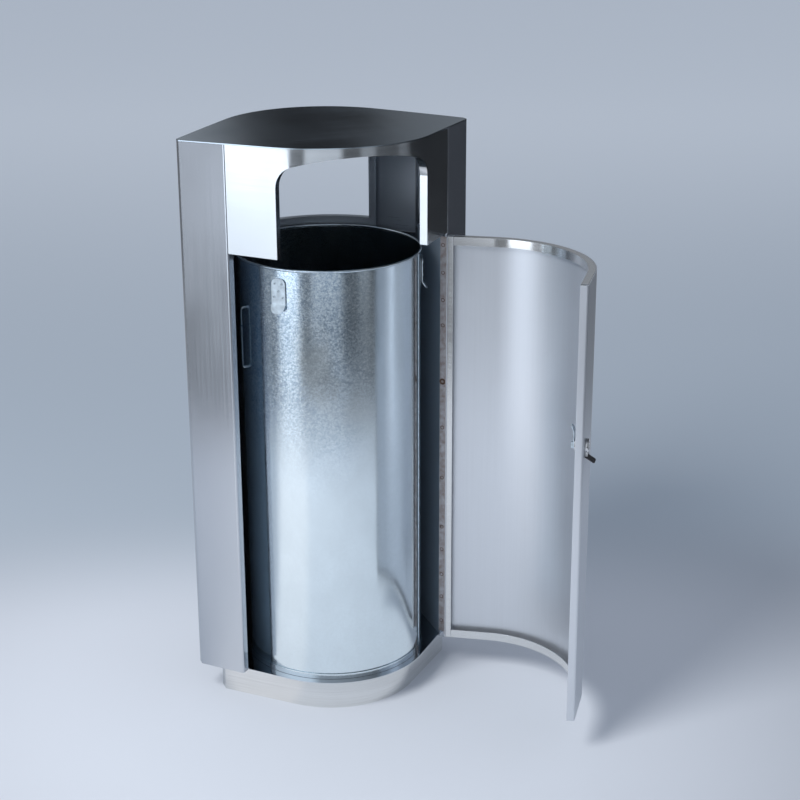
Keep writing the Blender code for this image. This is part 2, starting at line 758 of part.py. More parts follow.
def make_lock_nut():
    hexagon = circle(LOCK_NUT_SIZE, 6)
    bore = circle(LOCK_BARREL_RADIUS + TOUCH_GAP, LOCK_STEPS)
    top = -SHEET - TOUCH_GAP
    nut = extruded("lock_nut", [hexagon, bore], top - LOCK_NUT_THICKNESS, top)
    return finished(nut, "lock_chrome")


def make_lock_plug():
    """The turning core with its key slot in front and its square tail through the cam."""
    radius = LOCK_PLUG_RADIUS
    top = LOCK_RING_HEIGHT - LOCK_PLUG_SUNK
    plug = extruded("lock_plug", [circle(radius, LOCK_STEPS)], BARREL_END + TOUCH_GAP, top)
    half = CAM_SQUARE / 2
    tail = extruded("tail", [rectangle(-half, half, -half, half)], CAM_BOTTOM, BARREL_END + SHEET)
    boolean(plug, tail, "UNION")
    across = KEY_SLOT_WIDTH / 2
    along = KEY_SLOT_LENGTH / 2
    slot = rectangle(-across, across, -along, along)
    cutter = extruded("key_slot", [slot], top - KEY_SLOT_DEPTH, top + KEY_SLOT_DEPTH)
    boolean(plug, cutter, "DIFFERENCE")
    return finished(plug, "lock_chrome")


def make_lock_cam():
    """A flat arm, pointing up when unlocked, whose end is kinked away from the skin."""
    half = CAM_WIDTH / 2
    tail = [(half * math.cos(turn), half * math.sin(turn)) for turn in half_turn(math.pi)]
    tip_y = CAM_REACH - half / 2
    tip = [(half, tip_y), (half / 2, CAM_REACH), (-half / 2, CAM_REACH), (-half, tip_y)]
    hole = CAM_SQUARE / 2 + TOUCH_GAP
    outlines = [tail + tip, rectangle(-hole, hole, -hole, hole)]
    cam = extruded("lock_cam", outlines, CAM_BOTTOM, CAM_TOP)
    bent(cam, CAM_KINK_START, 1, -CAM_KINK_ANGLE, (CAM_TOP + CAM_BOTTOM) / 2)
    return finished(cam, "lock_chrome")


def half_turn(start):
    return [start + math.pi * step / CORNER_STEPS for step in range(CORNER_STEPS + 1)]


def bent(obj, level, way, angle, height):
    """Bends what lies past a level of Y, on its upper or lower side, about the line at that level."""
    work = bmesh.new()
    work.from_mesh(obj.data)
    everything = work.verts[:] + work.edges[:] + work.faces[:]
    bmesh.ops.bisect_plane(
        work, geom=everything, dist=WELD, plane_co=(0, level, 0), plane_no=(0, 1, 0)
    )
    turn = Matrix.Rotation(angle, 3, "X")
    hinge = Vector((0, level, height))
    for vert in work.verts:
        if way * (vert.co.y - level) > WELD:
            vert.co = hinge + turn @ (vert.co - hinge)
    work.to_mesh(obj.data)
    work.free()


def make_cam_bolt():
    """The hexagon bolt head that holds the cam on the plug."""
    top = CAM_BOTTOM - TOUCH_GAP
    bolt = extruded("cam_bolt", [circle(CAM_BOLT_SIZE, 6)], top - CAM_BOLT_HEIGHT, top)
    return finished(bolt, "zinc_fitting")


def make_flap():
    """The dust flap, drawn closed over the ring: a plate that stands off its pin on one knuckle."""
    inner = LOCK_RING_HEIGHT + SEAM_GAP - FLAP_AXIS_HEIGHT
    outer = inner + FLAP_THICKNESS
    half = FLAP_WIDTH / 2
    reach = FLAP_REACH
    corner = FLAP_CORNER
    low = -FLAP_THICKNESS / 2
    outline = [(half, low), (half, reach - corner), (half - corner, reach)]
    outline += [(-half + corner, reach), (-half, reach - corner), (-half, low)]
    flap = extruded("lock_flap", [outline], inner, outer)
    bore = FLAP_PIN_RADIUS + TOUCH_GAP
    neck_half = FLAP_KNUCKLE_LENGTH / 2
    neck = rectangle(-neck_half, neck_half, low, low + FLAP_THICKNESS)
    neck_start = (bore + FLAP_KNUCKLE_RADIUS) / 2
    boolean(flap, extruded("neck", [neck], neck_start, outer - FLAP_THICKNESS / 2), "UNION")
    ring = [circle(FLAP_KNUCKLE_RADIUS, KNUCKLE_SIDES), circle(bore, KNUCKLE_SIDES)]
    knuckle = lying_across(extruded("flap_knuckle", ring, -neck_half, neck_half))
    boolean(flap, knuckle, "UNION")
    return finished(flap, "dark_steel")


def make_flap_pin():
    reach = FLAP_KNUCKLE_LENGTH / 2 + SEAM_GAP + FLAP_EAR_WIDTH
    pin = extruded("lock_flap_pin", [circle(FLAP_PIN_RADIUS, RIVET_SIDES)], -reach, reach)
    lying_across(pin)
    pin.data.transform(Matrix.Translation((0, FLAP_AXIS_Y, FLAP_AXIS_HEIGHT)))
    return finished(pin, "lock_chrome")


# Bucket, drawn about its own axis


def make_bucket_shell():
    inner = BUCKET_RADIUS - BUCKET_WALL
    profile = [
        (inner, SHELL_TOP),
        (BUCKET_RADIUS, SHELL_TOP),
        (BUCKET_RADIUS, SHELL_BOTTOM),
        (inner, SHELL_BOTTOM),
    ]
    return finished(turned("bucket_shell", profile, BUCKET_STEPS), "galvanised")


def make_bucket_rim():
    """The rolled bead on the bucket's mouth."""
    centre = BUCKET_RADIUS - BUCKET_BEAD_INSET
    turns = [-2 * math.pi * side / KNUCKLE_SIDES for side in range(KNUCKLE_SIDES)]
    profile = [
        (centre + BUCKET_BEAD * math.cos(turn), BEAD_Z + BUCKET_BEAD * math.sin(turn))
        for turn in turns
    ]
    return finished(turned("bucket_rim", profile, BUCKET_STEPS), "galvanised")


def make_bucket_base():
    """The bottom disc, raised a little, with the crimped band that grips the shell's foot."""
    inner = BUCKET_RADIUS + TOUCH_GAP
    outer = inner + BUCKET_CRIMP - TOUCH_GAP
    disc = BUCKET_FOOT + BUCKET_BASE_LIFT
    band_top = BUCKET_FOOT + BUCKET_CRIMP_HEIGHT
    profile = [
        (0, disc + BUCKET_WALL),
        (inner, disc + BUCKET_WALL),
        (inner, band_top),
        (outer, band_top),
        (outer, BUCKET_FOOT),
        (inner, BUCKET_FOOT),
        (inner, disc),
        (0, disc),
    ]
    return finished(turned("bucket_base", profile, BUCKET_STEPS, closed=False), "galvanised")


def make_lug(number):
    """A riveted plate with a kicked-out tongue, drawn with Z outward and Y up, its bend at Y zero."""
    half = LUG_WIDTH / 2
    top = LUG_PLATE_HEIGHT
    outline = [(-half, 0), (-half, -LUG_TONGUE + half)]
    for turn in half_turn(math.pi)[1:-1]:
        outline.append((half * math.cos(turn), -LUG_TONGUE + half + half * math.sin(turn)))
    outline += [(half, -LUG_TONGUE + half), (half, 0)]
    shoulder = half - LUG_TOP_RADIUS
    for step in range(CORNER_STEPS + 1):
        turn = math.pi / 2 * step / CORNER_STEPS
        y = top - LUG_TOP_RADIUS + LUG_TOP_RADIUS * math.sin(turn)
        outline.append((shoulder + LUG_TOP_RADIUS * math.cos(turn), y))
    outline += [(-x, y) for x, y in outline[-1 : -CORNER_STEPS - 2 : -1]]
    low = BUCKET_RADIUS + TOUCH_GAP
    high = low + LUG_THICKNESS
    lug = extruded(f"bucket_lug_{number}", [outline], low, high)
    bent(lug, 0, -1, -LUG_KICK_ANGLE, high)
    heads = []
    for across_share, down_share in RIVET_SHARES:
        for side in (-1, 1) if across_share else (1,):
            x = side * across_share * LUG_WIDTH
            heads.append(circle(RIVET_RADIUS, RIVET_SIDES, x, top * (1 - down_share)))
    rivets = extruded("rivets", heads, low + LUG_THICKNESS / 2, high + RIVET_HEIGHT)
    boolean(lug, rivets, "UNION")
    angle = LUG_FIRST_ANGLE + 2 * math.pi * (number - 1) / LUGS
    upright = Matrix(((0, 0, 1), (1, 0, 0), (0, 1, 0))).to_4x4()
    bend_z = BUCKET_TOP - LUG_BELOW_RIM - LUG_PLATE_HEIGHT
    lug.data.transform(Matrix.Translation((0, 0, bend_z)) @ Matrix.Rotation(angle, 4, "Z") @ upright)
    return finished(lug, "zinc_fitting")


def make_bucket_grip():
    """A wire grip that stands off the side, its ends turned in to the wall."""
    wall = BUCKET_RADIUS + TOUCH_GAP
    out = wall + GRIP_STANDOFF
    high = BUCKET_TOP - GRIP_BELOW_RIM + GRIP_LENGTH / 2
    low = high - GRIP_LENGTH
    path = rounded([(wall, low), (out, low), (out, high), (wall, high)], GRIP_BEND, CORNER_STEPS)
    curve = bpy.data.curves.new("grip_wire", "CURVE")
    curve.dimensions = "3D"
    curve.bevel_depth = GRIP_WIRE_RADIUS
    curve.bevel_resolution = 1
    curve.use_fill_caps = True
    spline = curve.splines.new("POLY")
    spline.points.add(len(path) - 1)
    for point, (radial, z) in zip(spline.points, path):
        point.co = (radial * math.cos(GRIP_ANGLE), radial * math.sin(GRIP_ANGLE), z, 1)
    guide = object_of("grip_wire", curve)
    return finished(object_of("bucket_grip", taken(guide)), "zinc_fitting")


# Pivots and assembly


def pivot(name, place, parent=None):
    empty = object_of(name, None)
    empty.parent = parent
    empty.matrix_basis = place
    return empty


def hang(pieces, parent, place=None):
    """Hangs pieces on a pivot. Pieces drawn in the closed bin are first moved to the pivot's own frame."""
    for piece in pieces:
        if place is not None:
            piece.data.transform(place.inverted())
        piece.parent = parent


def make_casing():
    make_foot()
    make_floor()
    make_pillar("left_pillar", LOCK_RETURN, -1)
    make_pillar("right_pillar", HINGE_RETURN, 1)
    make_lining("left_lining", LOCK_RETURN, -1)
    make_lining("right_lining", HINGE_RETURN, 1)
    make_front_hood()
    make_rear_hood()
    make_rear_panel()
    make_top_plate()
    leaf_near = JAMB_U - TOUCH_GAP - LEAF_THICKNESS
    make_leaf("hinge_casing_leaf", leaf_near, JAMB_U - TOUCH_GAP, 0)
    make_hinge_pin()


def make_door():
    """The door with its lock, drawn closed and then swung open on the hinge's axis."""
    closed_place = Matrix.Translation(hinge_axis())
    door = pivot("door_pivot", closed_place @ Matrix.Rotation(DOOR_OPEN_ANGLE, 4, "Z"))
    leaf_near = HINGE_EDGE_U + TOUCH_GAP
    sheets = [
        make_door_skin(),
        make_stile("door_lock_stile", -1, LOCK_EDGE_U),
        make_stile("door_hinge_stile", 1, HINGE_EDGE_U),
        make_rail("door_bottom_rail", DOOR_BOTTOM, DOOR_BOTTOM + RAIL_FACE, DOOR_BOTTOM),
        make_rail("door_top_rail", DOOR_TOP - RAIL_FACE, DOOR_TOP, DOOR_TOP - SHEET),
        make_leaf("hinge_door_leaf", leaf_near, leaf_near + LEAF_THICKNESS, 1),
    ]
    hang(sheets, door, closed_place)
    lock = pivot("lock_pivot", closed_place.inverted() @ lock_place(), door)
    hang([make_lock_housing(), make_lock_nut(), make_flap_pin()], lock)
    hang([make_lock_plug(), make_lock_cam(), make_cam_bolt()], lock)
    flap_place = Matrix.Translation((0, FLAP_AXIS_Y, FLAP_AXIS_HEIGHT))
    flap = pivot("flap_pivot", flap_place @ Matrix.Rotation(FLAP_OPEN_ANGLE, 4, "X"), lock)
    hang([make_flap()], flap)


def make_bucket():
    bucket = pivot("bucket_axis", Matrix.Translation((BUCKET_OFFSET_X, BUCKET_OFFSET_Y, 0)))
    pieces = [make_bucket_shell(), make_bucket_rim(), make_bucket_base(), make_bucket_grip()]
    pieces += [make_lug(number) for number in range(1, LUGS + 1)]
    hang(pieces, bucket)


make_casing()
make_door()
make_bucket()
bpy.context.view_layer.update()
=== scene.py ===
"""The looks of a lens-shaped litter bin of steel sheet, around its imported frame.

Metres, +Z up, the door side at -Y. Sheets and fittings are dressed copies of the frame's nodes, with
finer rolls and softened edges. The bucket's wall, rim and seam, the rivets and the hinge's screws are
built here.
"""

import json
import math

import bmesh
import bpy
from mathutils import Matrix, Vector, noise


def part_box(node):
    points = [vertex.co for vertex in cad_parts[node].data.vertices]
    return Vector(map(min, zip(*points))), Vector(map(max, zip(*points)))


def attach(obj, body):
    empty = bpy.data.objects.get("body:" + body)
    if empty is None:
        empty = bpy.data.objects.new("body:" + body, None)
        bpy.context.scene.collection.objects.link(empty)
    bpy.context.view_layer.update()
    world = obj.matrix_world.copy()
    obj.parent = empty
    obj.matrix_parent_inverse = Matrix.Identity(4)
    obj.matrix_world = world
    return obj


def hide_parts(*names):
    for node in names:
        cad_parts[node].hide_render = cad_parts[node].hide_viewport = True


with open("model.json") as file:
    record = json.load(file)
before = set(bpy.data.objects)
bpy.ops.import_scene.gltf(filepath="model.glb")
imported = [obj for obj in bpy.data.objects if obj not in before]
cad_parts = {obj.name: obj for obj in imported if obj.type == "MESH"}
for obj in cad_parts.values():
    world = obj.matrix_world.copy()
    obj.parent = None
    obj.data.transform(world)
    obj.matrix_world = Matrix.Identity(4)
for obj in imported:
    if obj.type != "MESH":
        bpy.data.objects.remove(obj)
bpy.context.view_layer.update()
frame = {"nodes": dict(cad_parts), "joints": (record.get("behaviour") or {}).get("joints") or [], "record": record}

# Plan of the casing
FLANK_ANGLE = math.radians(46.57)
PLINTH_ANGLE = math.radians(44.5)
ROLL_FACETS = 24
FINER = 4

# Softened edges
EDGE_SOFTNESS = 0.00025
FOLD_SOFTNESS = 0.0006
FITTING_SOFTNESS = 0.0001
LUG_SOFTNESS = 0.0002
BOLT_SOFTNESS = 0.0003
BASE_SOFTNESS = 0.0006
EDGE_SEGMENTS = 2
EDGE_PROFILE = 0.5
SHARP_ANGLE = math.radians(30)
SMOOTH_ANGLE = math.radians(50)

# How near two things have to be to count as one
SAME_PLACE = 0.000002
SAME_RADIUS = 0.00001
RADIUS_DIGITS = 6
SAME_FACET_SHARE = 0.001
SAME_PLANE_ANGLE = math.radians(0.05)

# Camera, solved from the photograph
CAMERA_PLACE = (-0.8501, -2.5972, 1.4674)
CAMERA_AZIMUTH = math.radians(-20.55)
CAMERA_PITCH = math.radians(19.63)
CAMERA_ROLL = math.radians(-0.21)
CAMERA_LENS = 78.83
CAMERA_SENSOR = 36

# Floor and light
FLOOR_RADIUS = 16
FLOOR_SEGMENTS = 96
FLOOR_ROUGHNESS = 0.9
FLOOR_SPECULAR = 0.1
FLOOR_FADE_START = 1.1
FLOOR_FADE_END = 2.0
# The floor's colour paints light and shade. It darkens away from the middle (painted falloff of the lamp's pool),
# darkens in a band behind the bin (painted shade at the foot of a backdrop), and turns paler far off.
SWEEP_START = 0.12
SWEEP_END = 0.75
VIGNETTE_START = 0.42
VIGNETTE_END = 1.15
FAR_END = 5.5
FLOOR_TONE = (0.71, 0.745, 0.80, 1)
FALLOFF_SHADE_TONE = (0.47, 0.495, 0.535, 1)
BAND_SHADE_TONE = (0.48, 0.54, 0.60, 1)
FAR_TONE = (0.93, 0.97, 1.0, 1)
# How the floor shows in metal: lighter or darker by direction round the bin, a painted reflection
FLOOR_LEFT_IN_METAL = (1.0, 1.0, 1.0, 1)
FLOOR_FRONT_IN_METAL = (0.86, 0.89, 0.92, 1)
FLOOR_FLANK_IN_METAL = (0.55, 0.59, 0.64, 1)
FLANK_TURN = (math.radians(-92), math.radians(-80))
FLOOR_TURN = (math.radians(-53), math.radians(-42))
SKY = (0.41, 0.475, 0.575, 1)
AMBIENT = (0.425, 0.465, 0.54, 1)
KEY_PLACE = (-2.3, -1.3, 3.0)
KEY_AIM = (0, 0, 0.3)
KEY_SIZE = 1.5
KEY_POWER = 97

# Brightness of the studio as metal sees it, by azimuth in degrees from the door side, in three
# bands of height
PANORAMA_PEAK = 2.8
HIGH_PANORAMA = (
    (-180, 0.30), (-140, 0.28), (-110, 0.60), (-80, 1.20), (-50, 1.20), (-38, 0.50), (0, 0.40),
    (40, 0.20), (80, 0.03), (114, 0.03), (128, 0.10), (140, 0.30), (152, 0.30), (157.5, 0.18),
    (159.2, 0.14), (160.2, 0.03), (162.5, 0.012), (164.2, 0.03), (165.3, 0.15), (166.7, 0.36),
    (180, 0.30),
)
LEVEL_PANORAMA = (
    (-180, 0.30), (-172, 0.10), (-108, 0.10),
    (-102, 0.42), (-84, 0.62), (-80.5, 2.7), (-57, 2.7), (-53.5, 0.22), (-41, 0.20), (-37.5, 1.10),
    (-5, 1.0), (1, 0.10), (15, 0.11), (20, 0.48), (31, 0.46), (35.5, 0.10), (66, 0.07),
    (78, 0.018), (122, 0.018), (136, 0.30), (145, 0.42), (180, 0.40),
)
LOW_PANORAMA = (
    (-180, 0.30), (-150, 0.26), (-125, 0.22), (-112, 0.16), (-105, 0.07), (-101.5, 0.08),
    (-100, 0.30), (-97, 0.30), (-95, 0.08), (-88, 0.10), (-80, 0.30), (-72, 0.46), (-60, 0.40),
    (-50, 0.20), (-30, 0.12), (-12, 0.13), (19, 0.11), (45, 0.14), (61, 0.14), (65, 0.95),
    (75, 0.95), (80, 0.08), (114, 0.04), (130, 0.22), (150, 0.40), (180, 0.34),
)
PANORAMA_TINT = (0.93, 1.0, 1.09)
LEVEL_TO_HIGH = (-0.12, -0.02)
LOW_TO_LEVEL = (-0.276, -0.254)


# Small tools for objects


def link(obj):
    bpy.context.scene.collection.objects.link(obj)
    return obj


def body_of(node):
    bodies = frame["record"]["behaviour"]["bodies"]
    return next(body for body, nodes in bodies.items() if node in nodes)


def placed(piece, body, finish):
    piece.data.materials.clear()
    piece.data.materials.append(finish)
    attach(piece, body)
    return piece


def shaded(mesh):
    mesh.shade_smooth()
    mesh.set_sharp_from_angle(angle=SMOOTH_ANGLE)


def weighted(piece):
    """Keeps flat faces flat beside softened edges."""
    modifier = piece.modifiers.new("weighted", "WEIGHTED_NORMAL")
    modifier.keep_sharp = True


# Small tools for shaders

NOISE_LOW = 0.3
NOISE_HIGH = 0.7


def wire(tree, kind, inputs=None, **settings):
    """Adds a node with these settings, and links or sets its inputs."""
    made = tree.nodes.new(kind)
    for name, value in settings.items():
        setattr(made, name, value)
    for key, value in (inputs or {}).items():
        if isinstance(value, bpy.types.NodeSocket):
            tree.links.new(value, made.inputs[key])
        else:
            made.inputs[key].default_value = value
    return made


def math_of(tree, operation, *values):
    node = wire(tree, "ShaderNodeMath", dict(enumerate(values)), operation=operation)
    return node.outputs[0]


def summed(tree, first, first_share, second, second_share):
    """Two values added, each by its own share."""
    part = math_of(tree, "MULTIPLY", first, first_share)
    return math_of(tree, "ADD", part, math_of(tree, "MULTIPLY", second, second_share))


def eased(tree, value, low, high):
    """0 at low, 1 at high, and smooth between."""
    inputs = {"Value": value, "From Min": low, "From Max": high}
    return wire(tree, "ShaderNodeMapRange", inputs, interpolation_type="SMOOTHSTEP").outputs[0]


def spread(tree, value, low, high):
    """A noise value stretched to run from low to high."""
    inputs = {
        "Value": value, "From Min": NOISE_LOW, "From Max": NOISE_HIGH, "To Min": low, "To Max": high,
    }
    return wire(tree, "ShaderNodeMapRange", inputs).outputs[0]


def blended(tree, share, first, second):
    """Mixes two colours, each a socket or a value."""
    made = wire(tree, "ShaderNodeMix", {"Factor": share}, data_type="RGBA")
    for socket, value in ((made.inputs[6], first), (made.inputs[7], second)):
        if isinstance(value, bpy.types.NodeSocket):
            tree.links.new(value, socket)
        else:
            socket.default_value = value
    return made.outputs[2]


def place_of(tree):
    return wire(tree, "ShaderNodeTexCoord").outputs["Object"]


def parts_of(tree, vector):
    return wire(tree, "ShaderNodeSeparateXYZ", {0: vector}).outputs


def vector_of(tree, operation, first, second, output=0):
    made = wire(tree, "ShaderNodeVectorMath", {0: first, 1: second}, operation=operation)
    return made.outputs[output]


def scaled_place(tree, scale):
    return vector_of(tree, "MULTIPLY", place_of(tree), scale)


def noise_of(tree, scale, detail):
    """Noise with its own scale along each axis, in waves per metre."""
    place = scaled_place(tree, scale)
    node = wire(tree, "ShaderNodeTexNoise", {"Vector": place, "Scale": 1.0, "Detail": detail})
    return node.outputs["Fac"]


def new_material(name):
    material = bpy.data.materials.new(name)
    material.use_nodes = True
    tree = material.node_tree
    shader = tree.nodes["Principled BSDF"]
    return material, tree, shader


def feed(tree, shader, **sockets):
    names = {
        "colour": "Base Color", "roughness": "Roughness", "normal": "Normal", "tangent": "Tangent",
    }
    for key, value in sockets.items():
        tree.links.new(value, shader.inputs[names[key]])


def shade_of(colour, factor):
    return (colour[0] * factor, colour[1] * factor, colour[2] * factor, 1)


def bumped(tree, height, distance, strength=1.0, normal=None):
    inputs = {"Height": height, "Distance": distance, "Strength": strength}
    if normal is not None:
        inputs["Normal"] = normal
    return wire(tree, "ShaderNodeBump", inputs).outputs[0]


# Materials

# Brushing, as waves per metre of its fine grain and of its broad bands, by the way the streaks run
LEVEL_BRUSHING = ((9, 9, 1600), (3, 3, 260))
UPRIGHT_BRUSHING = ((1600, 1600, 9), (240, 240, 3))
TOP_BRUSHING = ((9, 1600, 9), (3, 260, 3))
BRUSHING_DETAIL = 2
FINE_SHARE = 0.5
BROAD_SHARE = 0.5
STREAK_DARK_SHARE = 0.06
STREAK_LIGHT_SHARE = 0.05
STREAK_ROUGHNESS = (-0.03, 0.03)
STREAK_HEIGHT = 0.000015
STREAK_STRENGTH = 0.6
SOFT_PATCHES = (7, 7, 5)
PATCH_DETAIL = 4
PATCH_SHARE = 0.35
PATCH_TONE_SHARE = 0.9
PATCH_ROUGHNESS = (-0.03, 0.04)
SHEET_WAVES = (5, 5, 3)
SHEET_WAVE_DETAIL = 1
SHEET_WAVE_HEIGHT = 0.0006

# Ways that the gloss of a brushed sheet is drawn out
ROUND_THE_SHEET = None
UP = (0, 0, 1)
BACK = (0, 1, 0)

# Hot-dipped zinc
LARGE_FLAKES = (380, 380, 380)
SMALL_FLAKES = (800, 800, 800)
LARGE_SHARE = 0.55
SMALL_SHARE = 0.45
FLAKE_ROUGHNESS = 0.06
FLAKE_HEIGHT = 0.00001
FLAKE_STRENGTH = 0.5
CALM_TONE_SHARES = (0.95, 1.04)
# Frost: a dark blue tone laid only on the upper left of the bucket's wall, partly spangle and partly painted shade
FROST_AND_SHADE_TONE = (0.30, 0.42, 0.56, 1)
FROST_LIGHT_SHARE = 1.16
FROST_CLOUDS = (9, 9, 5)
FROST_DETAIL = 3
FROST_EDGES = (0.34, 0.50)
SHADED_FROST_HEIGHTS = (0.34, 0.60)
SHADED_FROST_SIDES = (0.05, -0.04)
FROST_ROUGHNESS = 0.05
ZINC_CLOUDS = (26, 26, 16)
CLOUD_DETAIL = 5
CLOUD_SHARE = 0.35
CLOUD_TONE_SHARE = 0.84
CLOUD_ROUGHNESS = (-0.02, 0.04)
ZINC_ROUGHNESS = 0.11

# Small fittings
METAL_SPOTS = (120, 120, 120)
SPOT_DETAIL = 4
SPOT_TONE_SHARES = (0.72, 1.05)
SPOT_ROUGHNESS = (0.06, -0.04)
SPOT_HEIGHT = 0.00003
SPOT_STRENGTH = 0.4


def brushed(name, colour, roughness, stretch, across, brushing, metal=1.0, lean=0.0, depth=1.0):
    """Brushed sheet: streaks in colour, roughness and relief, and gloss drawn out across them.

    A lean tips the relief sideways, and depth scales the streaks.
    """
    material, tree, shader = new_material(name)
    fine, broad = (noise_of(tree, waves, BRUSHING_DETAIL) for waves in brushing)
    patches = noise_of(tree, SOFT_PATCHES, PATCH_DETAIL)
    streaks = summed(tree, fine, FINE_SHARE, broad, BROAD_SHARE)
    dark = shade_of(colour, 1 - STREAK_DARK_SHARE * depth)
    light = shade_of(colour, 1 + STREAK_LIGHT_SHARE * depth)
    toned = blended(tree, spread(tree, streaks, 0, 1), dark, light)
    patched = spread(tree, patches, PATCH_SHARE, 0)
    toned = blended(tree, patched, toned, shade_of(colour, PATCH_TONE_SHARE))
    rough = math_of(tree, "ADD", spread(tree, streaks, *STREAK_ROUGHNESS), roughness)
    rough = math_of(tree, "ADD", spread(tree, patches, *PATCH_ROUGHNESS), rough)
    relief = bumped(tree, noise_of(tree, SHEET_WAVES, SHEET_WAVE_DETAIL), SHEET_WAVE_HEIGHT)
    if lean:
        aside = parts_of(tree, place_of(tree))[0]
        relief = bumped(tree, math_of(tree, "MULTIPLY", aside, lean), 1.0, 1.0, relief)
    relief = bumped(tree, streaks, STREAK_HEIGHT * depth, STREAK_STRENGTH, relief)
    if across is ROUND_THE_SHEET:
        normal = wire(tree, "ShaderNodeNewGeometry").outputs["Normal"]
        tangent = vector_of(tree, "CROSS_PRODUCT", normal, UP)
    else:
        tangent = wire(tree, "ShaderNodeCombineXYZ", dict(enumerate(across))).outputs[0]
    shader.inputs["Metallic"].default_value = metal
    shader.inputs["Anisotropic"].default_value = stretch
    feed(tree, shader, colour=toned, roughness=rough, normal=relief, tangent=tangent)
    return material


def flakes_of(tree, scale):
    """Cells of random brightness."""
    inputs = {"Vector": scaled_place(tree, scale), "Scale": 1.0}
    cells = wire(tree, "ShaderNodeTexVoronoi", inputs).outputs["Color"]
    return wire(tree, "ShaderNodeSeparateColor", {0: cells}).outputs[0]


def galvanised(name, colour):
    """Hot-dipped zinc: flakes of unlike tone, frosted in clouds, with soft grey patches between. The frost is dark
    blue and lies only on the upper left of the wall: partly the zinc's own spangle, partly painted shade.
    """
    material, tree, shader = new_material(name)
    large = flakes_of(tree, LARGE_FLAKES)
    small = flakes_of(tree, SMALL_FLAKES)
    mottle = summed(tree, large, LARGE_SHARE, small, SMALL_SHARE)
    clouds = noise_of(tree, ZINC_CLOUDS, CLOUD_DETAIL)
    aside, _, up = parts_of(tree, place_of(tree))
    # Partly painted shade: the dark frost is kept to the upper left of the wall
    frost_and_shade = noise_of(tree, FROST_CLOUDS, FROST_DETAIL)
    frost_and_shade = eased(tree, frost_and_shade, *FROST_EDGES)
    frost_and_shade = math_of(tree, "MULTIPLY", frost_and_shade, eased(tree, up, *SHADED_FROST_HEIGHTS))
    frost_and_shade = math_of(tree, "MULTIPLY", frost_and_shade, eased(tree, aside, *SHADED_FROST_SIDES))
    dark, light = (shade_of(colour, share) for share in CALM_TONE_SHARES)
    calm = blended(tree, mottle, dark, light)
    lively = blended(tree, mottle, FROST_AND_SHADE_TONE, shade_of(colour, FROST_LIGHT_SHARE))
    tone = blended(tree, frost_and_shade, calm, lively)
    clouded = spread(tree, clouds, 0, CLOUD_SHARE)
    tone = blended(tree, clouded, tone, shade_of(colour, CLOUD_TONE_SHARE))
    rough = math_of(tree, "ADD", math_of(tree, "MULTIPLY", mottle, FLAKE_ROUGHNESS), ZINC_ROUGHNESS)
    rough = math_of(tree, "ADD", math_of(tree, "MULTIPLY", frost_and_shade, FROST_ROUGHNESS), rough)
    rough = math_of(tree, "ADD", spread(tree, clouds, *CLOUD_ROUGHNESS), rough)
    relief = bumped(tree, mottle, FLAKE_HEIGHT, FLAKE_STRENGTH)
    shader.inputs["Metallic"].default_value = 1.0
    feed(tree, shader, colour=tone, roughness=rough, normal=relief)
    return material


def plain_metal(name, colour, roughness, tint=None):
    """Cast, plated or worn small metal, with a mottled tone and gloss."""
    material, tree, shader = new_material(name)
    mottle = noise_of(tree, METAL_SPOTS, SPOT_DETAIL)
    dark, light = (shade_of(colour, share) for share in SPOT_TONE_SHARES)
    tone = blended(tree, spread(tree, mottle, 0, 1), tint or dark, light)
    rough = math_of(tree, "ADD", spread(tree, mottle, *SPOT_ROUGHNESS), roughness)
    relief = bumped(tree, mottle, SPOT_HEIGHT, SPOT_STRENGTH)
    shader.inputs["Metallic"].default_value = 1.0
    feed(tree, shader, colour=tone, roughness=rough, normal=relief)
    return material


